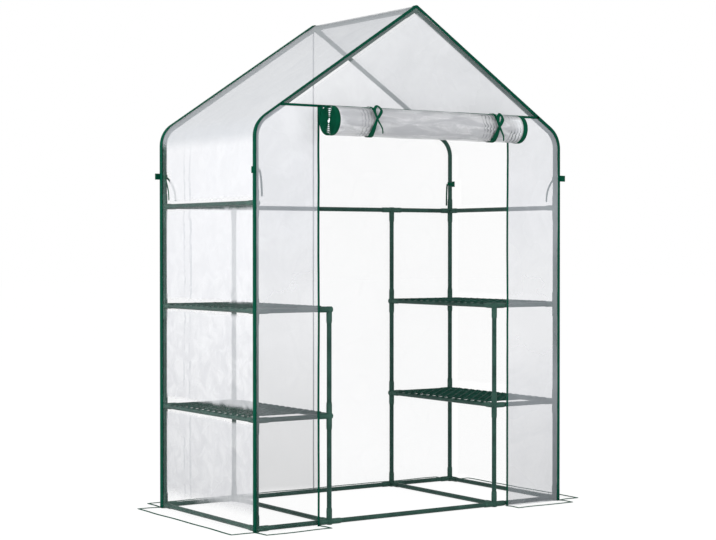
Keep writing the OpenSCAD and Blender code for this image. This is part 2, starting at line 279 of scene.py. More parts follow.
# several tapes as one closed mesh, with a UV map in metres along and across each
def tapePiece(name, tapes, material):
    points, faces, coords = [], [], []
    for path, across, lift, width, thick in tapes:
        newPoints, newFaces = tapeMesh(path, across, lift, width, thick)
        base = len(points)
        points += newPoints
        faces += [tuple(k + base for k in face) for face in newFaces]
        ring = len(newPoints) // len(path)
        run = 0.0
        for i, p in enumerate(path):
            run += (p - path[i - 1]).length if i else 0.0
            for q in newPoints[i * ring:(i + 1) * ring]:
                coords.append(((q - p).dot(across[i]), run))
    mesh = bpy.data.meshes.new(name)
    mesh.from_pydata(points, [], faces)
    layer = mesh.uv_layers.new(name="cut")
    for loop in mesh.loops:
        layer.data[loop.index].uv = coords[loop.vertex_index]
    shell = bmesh.new()
    shell.from_mesh(mesh)
    bmesh.ops.recalc_face_normals(shell, faces=shell.faces)
    shell.to_mesh(mesh)
    shell.free()
    mesh.shade_smooth()
    return addObject(name, mesh, material)


# smooth path through control tuples, of any length, by Catmull-Rom
def smoothPath(controls, count):
    ends = [controls[0]] + list(controls) + [controls[-1]]
    path = []
    for i in range(1, len(ends) - 2):
        a, b, c, d = ends[i - 1:i + 3]
        for k in range(count):
            t = k / count
            path.append(tuple(
                0.5 * (2 * q + (r - p) * t + (2 * p - 5 * q + 4 * r - s) * t ** 2
                       + (3 * q - p - 3 * r + s) * t ** 3)
                for p, q, r, s in zip(a, b, c, d)))
    path.append(tuple(controls[-1]))
    return path


def tangents(path):
    last = len(path) - 1
    return [(path[min(i + 1, last)] - path[max(i - 1, 0)]).normalized() for i in range(len(path))]


# geometry nodes: one tree for wires along edges, one for stitches along edges
def startTree(name, sizes):
    tree = bpy.data.node_groups.new(name, "GeometryNodeTree")
    tree.interface.new_socket("Geometry", in_out="INPUT", socket_type="NodeSocketGeometry")
    for size in sizes:
        tree.interface.new_socket(size, in_out="INPUT", socket_type="NodeSocketFloat")
    tree.interface.new_socket("Material", in_out="INPUT", socket_type="NodeSocketMaterial")
    tree.interface.new_socket("Geometry", in_out="OUTPUT", socket_type="NodeSocketGeometry")
    return tree, tree.nodes.new("NodeGroupInput"), tree.nodes.new("NodeGroupOutput")


def makeWireTree():
    tree, source, result = startTree("wireRun", ["Wire radius"])
    link = tree.links.new
    curve = tree.nodes.new("GeometryNodeMeshToCurve")
    profile = tree.nodes.new("GeometryNodeCurvePrimitiveCircle")
    profile.inputs["Resolution"].default_value = 6
    sweep = tree.nodes.new("GeometryNodeCurveToMesh")
    sweep.inputs["Fill Caps"].default_value = True
    real = tree.nodes.new("GeometryNodeRealizeInstances")
    paint = tree.nodes.new("GeometryNodeSetMaterial")
    link(source.outputs["Geometry"], curve.inputs[0])
    link(source.outputs["Wire radius"], profile.inputs["Radius"])
    link(curve.outputs[0], sweep.inputs["Curve"])
    link(profile.outputs[0], sweep.inputs["Profile Curve"])
    link(sweep.outputs[0], real.inputs[0])
    link(real.outputs[0], paint.inputs["Geometry"])
    link(source.outputs["Material"], paint.inputs["Material"])
    link(paint.outputs[0], result.inputs[0])
    return tree


def makeStitchTree():
    tree, source, result = startTree("stitchRow", ["Spacing", "Length", "Width"])
    link = tree.links.new
    curve = tree.nodes.new("GeometryNodeMeshToCurve")
    spots = tree.nodes.new("GeometryNodeCurveToPoints")
    spots.mode = "LENGTH"
    turn = tree.nodes.new("FunctionNodeAlignRotationToVector")
    turn.axis = "Z"
    shape = tree.nodes.new("GeometryNodeMeshIcoSphere")
    scale = tree.nodes.new("ShaderNodeCombineXYZ")
    place = tree.nodes.new("GeometryNodeInstanceOnPoints")
    real = tree.nodes.new("GeometryNodeRealizeInstances")
    paint = tree.nodes.new("GeometryNodeSetMaterial")
    link(source.outputs["Geometry"], curve.inputs[0])
    link(curve.outputs[0], spots.inputs["Curve"])
    link(source.outputs["Spacing"], spots.inputs["Length"])
    link(spots.outputs["Tangent"], turn.inputs["Vector"])
    for axis, size in (("X", "Width"), ("Y", "Width"), ("Z", "Length")):
        link(source.outputs[size], scale.inputs[axis])
    link(spots.outputs["Points"], place.inputs["Points"])
    link(shape.outputs[0], place.inputs["Instance"])
    link(turn.outputs[0], place.inputs["Rotation"])
    link(scale.outputs[0], place.inputs["Scale"])
    link(place.outputs[0], real.inputs[0])
    link(real.outputs[0], paint.inputs["Geometry"])
    link(source.outputs["Material"], paint.inputs["Material"])
    link(paint.outputs[0], result.inputs[0])
    return tree


wireTree = makeWireTree()
stitchTree = makeStitchTree()


# polylines run through a tree and turned into a plain mesh
def growAlong(name, lines, tree, sizes, material):
    points, edges = [], []
    for line in lines:
        base = len(points)
        points += line
        edges += [(base + i, base + i + 1) for i in range(len(line) - 1)]
    mesh = bpy.data.meshes.new(name)
    mesh.from_pydata(points, edges, [])
    made = bpy.data.objects.new(name, mesh)
    bpy.context.scene.collection.objects.link(made)
    modifier = made.modifiers.new("grow", "NODES")
    modifier.node_group = tree
    values = dict(sizes, Material=material)
    for item in tree.interface.items_tree:
        if item.in_out == "INPUT" and item.name in values:
            modifier[item.identifier] = values[item.name]
    ready = made.evaluated_get(bpy.context.evaluated_depsgraph_get())
    grown = bpy.data.meshes.new_from_object(ready)
    made.modifiers.remove(modifier)
    made.data = grown
    grown.name = name
    grown.shade_smooth()
    return made


def wear(piece, slot, *replaced):
    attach(piece, "root")
    if replaced:
        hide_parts(*replaced)
    return piece


# powder-coated tube: fine orange peel, soft patches of sheen, paler rubbed spots
tubeFinish = {"dark": (0.012, 0.050, 0.038, 1), "light": (0.024, 0.078, 0.060, 1),
              "rubbed": (0.06, 0.12, 0.10, 1)}


def makeTubePaint(name, finish, peelScale, roughness, shine):
    look = Look(name)
    place = look.place()
    patches = look.cloud(place, 22, 4)
    peel = look.cloud(place, peelScale, 2)
    rubs = look.step(look.cloud(look.stretch(place, (160, 160, 45)), 1, 5), 0.68, 0.76)
    colour = look.blend(look.step(patches, 0.3, 0.7), finish["dark"], finish["light"])
    colour = look.blend(rubs * 0.35, colour, finish["rubbed"])
    height = peel + rubs * 0.4
    return look.finish({
        "Base Color": colour, "Roughness": roughness + 0.18 * patches, "Specular IOR Level": shine,
        "Normal": look.bump(height, 0.0003, 0.35)})


tubePaint = makeTubePaint("tubePaint", tubeFinish, 1100, 0.33, 0.18)

# moulded socket connectors, a little paler than the tubes
connectorFinish = {"dark": (0.020, 0.068, 0.051, 1), "light": (0.036, 0.100, 0.076, 1),
                   "rubbed": (0.08, 0.14, 0.11, 1)}
connectorPlastic = makeTubePaint("connectorPlastic", connectorFinish, 650, 0.42, 0.18)

# plastic-coated shelf wire
wireFinish = {"dark": (0.008, 0.046, 0.032, 1), "light": (0.018, 0.082, 0.060, 1),
              "rubbed": (0.05, 0.11, 0.09, 1)}
wireCoat = makeTubePaint("wireCoat", wireFinish, 900, 0.55, 0.05)


# woven tape and webbing: ribs across and a twill slant, on the piece's own UV map; the colour is paler on
# the yarn tops and darker in the hollows between them, painted shade
def makeWeave(name, finish):
    look = Look(name)
    across, along = look.split(look.node("UVMap", {"uv_map": "cut"}))[:2]
    ribs = look.node("Math", {"operation": "SINE"}, {0: along * finish["ribs"]})
    twill = across * finish["yarns"] + along * finish["slant"]
    yarns = look.node("Math", {"operation": "SINE"}, {0: twill})
    weave = 0.5 + 0.25 * ribs + 0.25 * yarns
    patches = look.cloud(look.place(), 30, 4)
    # painted shade: the colour is darker where the weave is low, between the yarns
    colour = look.blend(weave * 0.35 + patches * 0.65, finish["dark"], finish["light"])
    return look.finish({
        "Base Color": colour, "Roughness": 0.62 + 0.2 * weave, "Specular IOR Level": 0.06,
        "Normal": look.bump(weave, 0.0003, 0.35)})


bindingWeave = makeWeave("bindingWeave", {
    "dark": (0.0, 0.042, 0.024, 1), "light": (0.0, 0.092, 0.052, 1),
    "ribs": 5200, "yarns": 6200, "slant": 900})
webbingWeave = makeWeave("webbingWeave", {
    "dark": (0.0, 0.036, 0.018, 1), "light": (0.0, 0.104, 0.052, 1),
    "ribs": 3600, "yarns": 3100, "slant": 1500})


def makeThread(name):
    look = Look(name)
    twist = look.cloud(look.stretch(look.place(), (900, 900, 2400)), 1, 2)
    colour = look.blend(twist, (0.0, 0.030, 0.016, 1), (0.005, 0.075, 0.042, 1))
    return look.finish({"Base Color": colour, "Roughness": 0.55, "Normal": look.bump(twist, 0.0002, 0.5)})


sewingThread = makeThread("sewingThread")


# distance inside the cover's outline, for the end walls
def outlineDepth(look, x, z):
    out = abs(x) - (halfWidth - eaveRadius)
    up = z - eaveZ
    sine, cosine = math.sin(roofSlope), math.cos(roofSlope)
    flat = out.atLeast(out * sine + up * cosine)
    bent = look.node("Math", {"operation": "SQRT"}, {0: out * out + up * up})
    inBend = up.isOver(0) * (out * cosine - up * sine).isOver(0)
    return eaveRadius - (flat + inBend * (bent - flat))


# clear film: haze that drifts, crumples and creases; clear where it lies against a tube
def makeFilm(name, film):
    look = Look(name)
    place = look.place()
    x, y, z = look.split(place)
    grain = look.stretch(place, film.get("grain", (1, 1, 1)))
    drift = look.cloud(grain, film["driftScale"], 3, 0.8)
    crumple = look.cloud(grain, film["crumpleScale"], 6, 0.9)
    warp = look.node("TexNoise", {}, {"Vector": place, "Scale": 9.0, "Detail": 3.0}, out=1)
    sway = (0.09, 0.09, 0.09)
    warped = look.node("VectorMath", {"operation": "MULTIPLY_ADD"}, {0: warp, 1: sway, 2: grain})
    cells = {"Vector": warped, "Scale": film["creaseScale"]}
    crease = 1 - look.step(look.node("TexVoronoi", {"feature": "DISTANCE_TO_EDGE"}, cells), 0.0, 0.07)
    patches = look.step(crumple, 0.36, 0.68)
    if "calmAbove" in film:
        patches = 0.5 + (patches - 0.5) * (1 - 0.75 * look.step(z, *film["calmAbove"]))
        crease = crease * (1 - 0.8 * look.step(z, *film["calmAbove"]))
    haze = film["haze"] * (1 - film["vary"] / 2 + film["vary"] * drift)
    haze = haze + film["creaseHaze"] * crease * patches
    tone = look.blend(patches, film["dull"], film["bright"])
    # painted shade: darker bands along the fold creases of the left wall
    if "folds" in film:
        onLeft = (1 - look.step(x, -0.5, -0.4)) * (1 - look.step(z, 1.3, 1.45))
        wander = 0.016 * look.cloud(look.stretch(place, (0, 0, 1)), 2.3, 4) + 0.036 * crumple - 0.026
        for centre, half, amount in film["folds"]:
            mark = look.band(y + wander, centre, half, half * 1.4) * onLeft * look.step(patches, 0.1, 0.6)
            tone = look.blend(mark * amount, tone, film["foldShadeTone"])
    for centre, half, amount in film.get("seams", []):
        mark = look.band(x, centre, half, half * 0.6)
        haze = haze + amount * mark
        tone = look.blend(mark, tone, film["seamTone"])
    # painted shade: the roof slopes take darker tones than the side walls
    if "roofZ" in film:
        onRight = look.step(x, 0.3, 0.5)
        haze = haze * (1 - (1 - film["rightShare"]) * onRight)
        tone = look.blend(onRight, tone, film["rightTone"])
        onRoof = look.step(z - 0.12 * onRight, film["roofZ"] - 0.03, film["roofZ"] + 0.03)
        tone = look.blend(onRoof, tone, look.blend(patches, film["roofShadeDull"], film["roofShadeTone"]))
        roofHaze = film["roofHaze"] * (0.85 + 0.3 * drift) * (1 - 0.55 * look.step(x, -0.05, 0.05))
        haze = haze + onRoof * (roofHaze - haze)
    clear = 0.0
    if "clearLevels" in film:
        clear = look.step(y, postY - 0.052, postY - 0.030) * (1 - look.step(z, eaveZ - 0.02, eaveZ + 0.03))
        ragged = z + 0.02 * crumple - 0.010
        for level, rise, half in film["clearLevels"]:
            clear = clear.atLeast(look.band(ragged, level + rise, half, 0.020))
        patch = look.band(z, strapTop - 0.06, 0.06, 0.01) * look.step(y, postY - 0.07, postY - 0.06)
        clear = clear.atLeast(patch)
    if "edgeClear" in film:
        clear = 1 - look.step(outlineDepth(look, x, z), 0.022, 0.034)
        clear = clear * (film["edgeClear"] - 0.25 * look.band(z, 1.25, 0.1, 0.9))
    if "floorClear" in film:
        low = 1 - look.step(z + 0.03 * crumple - 0.015, *film["floorClear"])
        clear = (low * (1 - look.step(x, -0.2, 0.2))).atLeast(clear)
    haze = haze * (1 - film.get("clearing", 0.0) * clear)
    # painted shade and light: the tone is scaled darker towards the foot, paler towards the head and, on
    # the front panels, paler low on the right
    if "footShade" in film:
        headShade = film.get("headShade", 1.0)
        shade = film["footShade"] + (headShade - film["footShade"]) * look.step(z, *film["footRange"])
        if "headHaze" in film:
            head = look.step(z, 0.8, 1.2)
            right = look.step(x, -0.2, 0.2)
            shade = shade + 0.12 * head + film["rightShade"] * right * (1 - look.step(z, 0.1, 1.1))
            low = right * (1 - look.step(z, 0.45, 0.7))
            haze = haze * (1 + film["headHaze"] * head.atLeast(low))
        tone = look.node("VectorMath", {"operation": "SCALE"}, {0: tone, "Scale": shade})
    alpha = haze.atLeast(0.02).atMost(0.98)
    # painted light: Emission makes the inner windings glow near both ends of the roll
    paintedGlow = (0, 0, 0, 1)
    if "core" in film:
        offY = y - film["core"][0]
        offZ = z - film["core"][1]
        radius = look.node("Math", {"operation": "SQRT"}, {0: offY * offY + offZ * offZ})
        glowMask = 1 - look.step(radius, film["core"][2] * 0.74, film["core"][2] * 0.88)
        glowMask = glowMask * look.step(abs(x), rollHigh.x - 0.045, rollHigh.x - 0.025)
        rings = look.node("Math", {"operation": "SINE"}, {0: 430 * x + 14 * crumple})
        # painted shade: dark ringed bands in the pleats beside the ties and near the right end of the roll
        for centre, half, amount in film["pleats"]:
            mark = look.band(x, centre, half, half * 1.3) * look.step(rings, -0.1, 0.9)
            tone = look.blend(mark * look.step(drift, 0.3, 0.5) * amount, tone, film["pleatShadeTone"])
        paintedGlow = look.blend(glowMask, (0, 0, 0, 1), film["coreGlow"])
    height = crumple * film["relief"] + crease * film["relief"] * 0.5
    return look.finish({
        "Base Color": tone, "Alpha": alpha, "Roughness": film["gloss"] + 0.15 * drift,
        "Specular IOR Level": 0.5,
        "Emission Color": paintedGlow, "Emission Strength": 1.0,
        "Normal": look.bump(height, 0.004, 0.5)})


railBands = list(zip(railLevels, (0.0, 0.012, 0.008, 0.002), (0.012, 0.020, 0.014, 0.010)))
coverFilm = makeFilm("coverFilm", {
    "driftScale": 4.5, "crumpleScale": 15, "creaseScale": 13, "haze": 0.74, "vary": 0.2, "creaseHaze": 0.06,
    "dull": (0.655, 0.665, 0.700, 1), "bright": (0.775, 0.785, 0.812, 1), "relief": 0.6, "gloss": 0.25,
    "calmAbove": (0.55, 1.15), "roofZ": eaveZ, "roofShadeTone": (0.515, 0.54, 0.58, 1),
    "roofShadeDull": (0.435, 0.46, 0.50, 1),
    "roofHaze": 0.64, "rightShare": 0.10, "rightTone": (0.95, 0.96, 0.97, 1),
    "footShade": 0.74, "footRange": (-0.1, 1.05),
    "clearLevels": railBands, "floorClear": (0.045, 0.105), "clearing": 0.93,
    "foldShadeTone": (0.50, 0.52, 0.56, 1),
    "folds": [(0.168, 0.0035, 0.7), (0.122, 0.0045, 0.8)]})
# front panels: darker tones than the side wall, painted shade
frontFilm = makeFilm("frontFilm", {
    "driftScale": 2.4, "crumpleScale": 5, "creaseScale": 4, "haze": 0.335, "vary": 0.14, "creaseHaze": 0.02,
    "dull": (0.44, 0.455, 0.50, 1), "bright": (0.52, 0.535, 0.58, 1), "relief": 0.3, "gloss": 0.2,
    "floorClear": (0.12, 0.16), "clearing": 0.9, "footShade": 0.2, "headShade": 1.28,
    "footRange": (0.0, 0.95), "headHaze": 0.42, "rightShade": 0.6})
gableFilm = makeFilm("gableFilm", {
    "driftScale": 2.4, "crumpleScale": 5, "creaseScale": 4, "haze": 0.50, "vary": 0.18, "creaseHaze": 0.02,
    "dull": (0.65, 0.67, 0.71, 1), "bright": (0.73, 0.75, 0.79, 1), "relief": 0.3, "gloss": 0.2,
    "edgeClear": 0.95, "clearing": 0.88})
backFilm = makeFilm("backFilm", {
    "driftScale": 3.0, "crumpleScale": 8, "creaseScale": 6, "haze": 0.10, "vary": 0.4, "creaseHaze": 0.02,
    "dull": (0.72, 0.76, 0.82, 1), "bright": (0.86, 0.88, 0.93, 1), "relief": 0.4, "gloss": 0.2,
    "seams": [(0.0, 0.0024, 0.75)], "seamTone": (0.30, 0.31, 0.33, 1)})
skirtFilm = makeFilm("skirtFilm", {
    "driftScale": 8.0, "crumpleScale": 24, "creaseScale": 14, "haze": 0.08, "vary": 0.6, "creaseHaze": 0.04,
    "dull": (0.84, 0.86, 0.88, 1), "bright": (0.96, 0.97, 0.98, 1), "relief": 0.5, "gloss": 0.22})
rollFilm = makeFilm("rollFilm", {
    "grain": (0.22, 1, 1), "driftScale": 16.0, "crumpleScale": 34, "creaseScale": 22,
    "haze": 0.55, "vary": 0.4,
    "creaseHaze": 0.10, "dull": (0.66, 0.67, 0.70, 1), "bright": (0.92, 0.93, 0.95, 1),
    "relief": 0.6, "gloss": 0.25,
    "core": (rollY, rollZ, rollRadius), "coreGlow": (0.65, 0.66, 0.67, 1),
    "pleatShadeTone": (0.16, 0.18, 0.19, 1),
    "pleats": [(tieSpots[0] - 0.030, 0.018, 0.5), (tieSpots[1] - 0.032, 0.022, 0.9),
               (rollHigh.x - 0.050, 0.022, 0.9)]})
print("materials made")


# finish of the carried-over frame
for nodeName, node in nodes.items():
    finish = None
    if nodeName.endswith("_connectors"):
        finish = connectorPlastic
    elif nodeName.endswith(("_rail", "_rails", "_post", "_posts", "_rafter", "_pole")):
        finish = tubePaint
    if finish:
        node.data.materials.clear()
        node.data.materials.append(finish)


# one sheet runs up the left wall, over the eaves and ridge and down the right wall
coverCut = {"step": 0.010, "ridgeRadius": 0.012, "billow": 0.0045, "crease": 0.0022, "tautEdge": 0.030}


def coverSlack(x, y, z):
    slack = smoothStep(halfDepth - coverCut["tautEdge"] - abs(y), 0.0, 0.09)
    if z < eaveZ:
        for level in railLevels:
            slack *= 1 - math.exp(-((z - level) / 0.035) ** 2)
    return slack * smoothStep(abs(x), 0.03, 0.1)


def makeCover():
    rows = []
    yCount = math.ceil(2 * halfDepth / coverCut["step"])
    for x, z, nx, nz in coverProfile(filmThick / 2, coverCut["step"], coverCut["ridgeRadius"]):
        row = []
        for j in range(yCount + 1):
            y = halfDepth * (2 * j / yCount - 1)
            p = Vector((x, y, z))
            wave = noise.noise(p * 3.1 + Vector((7, 3, 1)))
            ridge = 1 - abs(noise.noise(Vector((p.x * 6, p.y * 9, p.z * 6)) + Vector((2, 9, 4))))
            offset = coverCut["billow"] * wave + coverCut["crease"] * (ridge ** 4 - 0.4)
            offset *= coverSlack(x, y, z)
            row.append(p + Vector((nx, 0, nz)) * offset)
        rows.append(row)
    return gridSheet("coverSheet", rows, coverFilm)


cover = makeCover()
wear(cover, "film", "left_wall", "left_eave", "left_roof", "right_roof", "right_eave", "right_wall")
outlineRun = coverProfile(filmThick / 2, coverCut["step"], coverCut["ridgeRadius"])
coverLength = sum(math.hypot(b[0] - a[0], b[1] - a[1]) for a, b in zip(outlineRun, outlineRun[1:]))
print("cover sheet: %.2f m along the outline" % coverLength)


# end walls: film hung inside the outline, slack between its sewn edges
endWall = {"step": 0.014, "rows": 70, "slack": 0.003, "edgeWave": 0.0022}
endRun = coverProfile(filmThick / 2, endWall["step"], coverCut["ridgeRadius"])
endProfile = [p for p in endRun if p[1] >= eaveZ - 1e-6]


def outlineTop(x):
    for a, b in zip(endProfile, endProfile[1:]):
        if a[0] <= x <= b[0] and b[0] > a[0]:
            return a[1] + (b[1] - a[1]) * (x - a[0]) / (b[0] - a[0])
    return eaveZ


# where the seam over the door meets the roof edge
seamX = next(a[0] + (b[0] - a[0]) * (doorTop - a[1]) / (b[1] - a[1])
             for a, b in zip(endProfile, endProfile[1:]) if a[1] <= doorTop < b[1])


# the free edges beside the doorway wander a little
def doorEdge(z, side):
    sway = noise.noise(Vector((side * 3.0, 0.0, z * 3.3)))
    sway = sway + 0.4 * noise.noise(Vector((side * 5.0, 1.0, z * 9.0)))
    return sway * endWall["edgeWave"] * smoothStep(z, 0.0, 0.15) * smoothStep(doorTop - z, 0.0, 0.15)


def makeEndSheet(name, y, columns, low, high, material, doorSide=0):
    outward = 1 if y > 0 else -1
    count = endWall["rows"]
    rows = []
    for i in range(count + 1):
        row = []
        for k, x in enumerate(columns):
            z = low(x) + (high(x) - low(x)) * i / count
            edge = min(i, count - i) / count
            side = min(k, len(columns) - 1 - k) / (len(columns) - 1)
            slack = smoothStep(edge, 0.0, 0.12) * smoothStep(side, 0.0, 0.12)
            p = Vector((x, 0, z))
            wave = 0.5 + 0.5 * noise.noise(p * 4.0 + Vector((0, y * 20, 5)))
            shift = 0.0
            if doorSide:
                nearDoor = smoothStep(0.12 - abs(abs(x) - doorHalf), 0.0, 0.12)
                shift = doorEdge(z, doorSide) * nearDoor
            row.append(Vector((x + shift, y + outward * endWall["slack"] * wave * slack, z)))
        rows.append(row)
    return gridSheet(name, rows, material, flip=outward < 0)


def zero(x):
    return 0.0


endY = halfDepth - filmThick / 2
backSheet = makeEndSheet("backSheet", endY, [p[0] for p in endProfile], zero, outlineTop, backFilm)
wear(backSheet, "film", "back_wall")
endArea = sum((a[1] + b[1]) / 2 * (b[0] - a[0]) for a, b in zip(endProfile, endProfile[1:]))

panelColumns = [p[0] for p in endProfile if p[0] < -doorHalf - 0.002] + [-doorHalf]


def panelTop(x):
    return min(outlineTop(x), doorTop)


for side, word, columns in ((-1, "left", panelColumns), (1, "right", [-x for x in panelColumns[::-1]])):
    panel = makeEndSheet("frontPanel" + word.title(), -endY, columns, zero, panelTop, frontFilm, side)
    wear(panel, "film", "front_" + word + "_panel")
    "front_" + word + "_rafter"

gableEnd = seamX * 0.997
gableColumns = [gableEnd] + [p[0] for p in endProfile if abs(p[0]) < abs(seamX) - 0.005] + [-gableEnd]
gable = makeEndSheet("gableSheet", -endY, gableColumns, lambda x: doorTop, outlineTop, gableFilm)
wear(gable, "film", "front_gable")
-2 * seamX
-seamX * (ridgeZ - doorTop)
print("end walls hung")


# flaps on the ground, with a narrow hem on their free edges
flap = {"width": cadBox[1].x - halfWidth, "step": 0.011, "lift": 0.0009, "ripple": 0.0035,
        "hemWidth": 0.009, "hemThick": 0.0022}
skirtLow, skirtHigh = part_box("ground_skirts")
frontFlap = -skirtLow.y - halfDepth
backFlap = skirtHigh.y - halfDepth


def flapPoint(start, along, out, a, b, reach):
    p = start + along * a + out * b
    wave = 0.5 + 0.5 * noise.noise(p * 7.0 + Vector((1, 8, 2)))
    rise = flap["lift"] + flap["ripple"] * wave * smoothStep(b, 0.0, reach * 0.5)
    return Vector((p.x, p.y, rise))


def makeFlap(name, start, along, length, out, reach):
    alongCount = math.ceil(length / flap["step"])
    outCount = math.ceil(reach / flap["step"])
    rows = []
    for j in range(outCount + 1):
        rows.append([flapPoint(start, along, out, length * i / alongCount, reach * j / outCount, reach)
                     for i in range(alongCount + 1)])
    upward = along.cross(out).z < 0
    sheet = gridSheet(name, rows, skirtFilm, flip=upward)
    rim = [row[0] for row in rows] + rows[-1][1:] + [row[-1] for row in rows[-2::-1]]
    rim = [p + Vector((0, 0, flap["hemThick"] / 2)) for p in rim]
    lift = [Vector((0, 0, 1))] * len(rim)
    across = [t.cross(Vector((0, 0, 1))).normalized() for t in tangents(rim)]
    hem = (rim, across, lift, flap["hemWidth"], flap["hemThick"])
    wear(sheet, "film", "ground_skirts")
    return hem


xAxis, yAxis = Vector((1, 0, 0)), Vector((0, 1, 0))
panelWidth = halfWidth - doorHalf
hems = [
    makeFlap("flapLeft", Vector((-halfWidth, -halfDepth, 0)), yAxis, 2 * halfDepth, -xAxis, flap["width"]),
    makeFlap("flapRight", Vector((halfWidth, -halfDepth, 0)), yAxis, 2 * halfDepth, xAxis, flap["width"]),
    makeFlap("flapBack", Vector((-halfWidth, halfDepth, 0)), xAxis, 2 * halfWidth, yAxis, backFlap),
    makeFlap("flapFrontLeft", Vector((-halfWidth, -halfDepth, 0)), xAxis, panelWidth, -yAxis, frontFlap),
    makeFlap("flapFrontRight", Vector((doorHalf, -halfDepth, 0)), xAxis, panelWidth, -yAxis, frontFlap)]
wear(tapePiece("flapHems", hems, bindingWeave), "binding")
print("flaps laid:", len(hems))


# sewn bindings: a tape folded over the edge of each end wall, one down each door edge, one along the seam
binding = {"thick": 0.0018, "step": 0.012, "rim": 0.002,
           "front": {"face": (0.0055, 0.012), "roofWrap": (0.005, 0.005), "wallWrap": (0.014, 0.014)},
           "back": {"face": (0.0055, 0.0055), "roofWrap": (0.026, 0.005), "wallWrap": (0.021, 0.005)},
           "stitchSpacing": 0.005, "stitchLength": 0.0016, "stitchWidth": 0.00032}
stitchLines = []


def bindEdge(path, across, outward, width):
    raised = outward * (binding["thick"] / 2)
    stitchLines.append([p + raised + side * (width * 0.22) for p, side in zip(path, across)][1:-1])
    return (path, across, [outward] * len(path), width, binding["thick"])


def between(ends, share):
    return ends[0] + (ends[1] - ends[0]) * share


# a leg on the end wall and a wrap over the edge, each with its width at the left and at the right
def outlineBinding(outward):
    y = outward.y * (halfDepth + binding["thick"] / 2)
    widths = binding["front" if outward.y < 0 else "back"]
    nominal = between(widths["face"], 0.5)
    path, across = [], []
    for x, z, nx, nz in coverProfile(0.0, binding["step"], coverCut["ridgeRadius"]):
        face = between(widths["face"], smoothStep(x, -halfWidth, halfWidth))
        normal = Vector((nx, 0, nz))
        path.append(Vector((x, y, z)) + normal * (binding["rim"] - face) / 2)
        across.append(-normal * (face + binding["rim"]) / nominal)
    faceLeg = bindEdge(path, across, outward, nominal)
    nominal = widths["wallWrap"][0]
    path, across, lift = [], [], []
    for x, z, nx, nz in coverProfile(-0.6 * binding["thick"], binding["step"], coverCut["ridgeRadius"]):
        side = smoothStep(x, -0.03, 0.03)
        wraps = (between(widths["roofWrap"], side), between(widths["wallWrap"], side))
        wrap = between(wraps, smoothStep(abs(nx), 0.6, 1.0))
        path.append(Vector((x, y - outward.y * wrap / 2, z)))
        across.append(-outward * wrap / nominal)
        lift.append(Vector((nx, 0, nz)))
    return [faceLeg, (path, across, lift, nominal, binding["thick"])]


frontTape = tapePiece("frontBinding", outlineBinding(-yAxis), bindingWeave)
wear(frontTape, "binding", "front_edge_binding")
backTape = tapePiece("backBinding", outlineBinding(yAxis), bindingWeave)
wear(backTape, "binding", "back_edge_binding")

frontY = -halfDepth - binding["thick"] / 2
doorTapes = []
for side in (-1, 1):
    count = math.ceil(doorTop / binding["step"])
    heights = [doorTop * i / count for i in range(count + 1)]
    path = [Vector((side * (doorHalf + doorTapeWidth / 2) + doorEdge(z, side), frontY, z)) for z in heights]
    doorTapes.append(bindEdge(path, [xAxis * side] * len(path), -yAxis, doorTapeWidth))
seamCount = 90
seamEnd = 0.992  # share of the seam that the tape covers
seamPath = [Vector((seamX * (1 - 2 * i / seamCount) * seamEnd, frontY, doorTop))
            for i in range(seamCount + 1)]
doorTapes.append(bindEdge(seamPath, [Vector((0, 0, 1))] * len(seamPath), -yAxis, doorTapeWidth))
wear(tapePiece("doorBinding", doorTapes, bindingWeave), "binding", "door_binding")
stitches = growAlong("bindingStitches", stitchLines, stitchTree, {
    "Spacing": binding["stitchSpacing"], "Length": binding["stitchLength"],
    "Width": binding["stitchWidth"]}, sewingThread)
wear(stitches, "binding")
print("bindings sewn:", len(stitchLines), "runs")


# the door, wound from its hem up to the seam over the doorway
roll = {"turns": 7, "perTurn": 40, "coreRadius": 0.010, "step": 0.009,
        "edgeTape": 0.020, "innerTape": 0.009, "tapeThick": 0.0025,
        "pinch": 0.04, "pinchReach": 0.022, "crumple": 0.03}


# how far the roll's skin stands out at a place, as a share of its radius
def rollSwell(x, angle):
    swell = 1.0
    for spot in tieSpots:
        swell -= roll["pinch"] * math.exp(-((x - spot) / roll["pinchReach"]) ** 2)
    round1 = Vector((x * 9.0, 1.4 * math.cos(angle), 1.4 * math.sin(angle)))
    round2 = Vector((x * 26.0, 3.2 * math.cos(angle), 3.2 * math.sin(angle) + 4.0))
    bumps = noise.noise(round1) * roll["crumple"] + noise.noise(round2) * roll["crumple"] * 0.45
    return swell + bumps * smoothStep(rollHigh.x - abs(x), 0.0, 0.06)


def rollPoint(x, turn):
    angle = 2 * math.pi * (turn - roll["turns"])
    radius = roll["coreRadius"] + (rollRadius - roll["coreRadius"]) * turn / roll["turns"]
    settled = smoothStep(-angle, 0.0, 1.2)
    radius = radius * (1 + (rollSwell(x, angle) - 1) * settled)
    return Vector((x, rollY + radius * math.cos(angle), rollZ + radius * math.sin(angle)))


def rollRows(spanAt):
    steps = roll["turns"] * roll["perTurn"]
    rows = []
    for k in range(steps + 1):
        turn = roll["turns"] * k / steps
        rows.append([rollPoint(x, turn) for x in spanAt(turn)])
    across = spanAt(roll["turns"])
    flapSteps = 8
    back = rollY + rollRadius
    for k in range(1, flapSteps + 1):
        t = k / flapSteps
        row = []
        for x in across:
            beside = smoothStep(abs(x), doorHalf - 0.025, doorHalf - 0.005)
            top = -halfDepth + filmThick / 2 - beside * 0.0055
            y = back + (top - back) * smoothStep(t, 0.0, 1.0)
            row.append(Vector((x, y, rollZ + (doorTop - seamGap - rollZ) * t)))
        rows.append(row)
    return rows


doorEnd = rollHigh.x
filmEnd = doorEnd - roll["innerTape"]


def filmSpan(turn):
    count = math.ceil(2 * filmEnd / roll["step"])
    return [filmEnd * (2 * i / count - 1) for i in range(count + 1)]


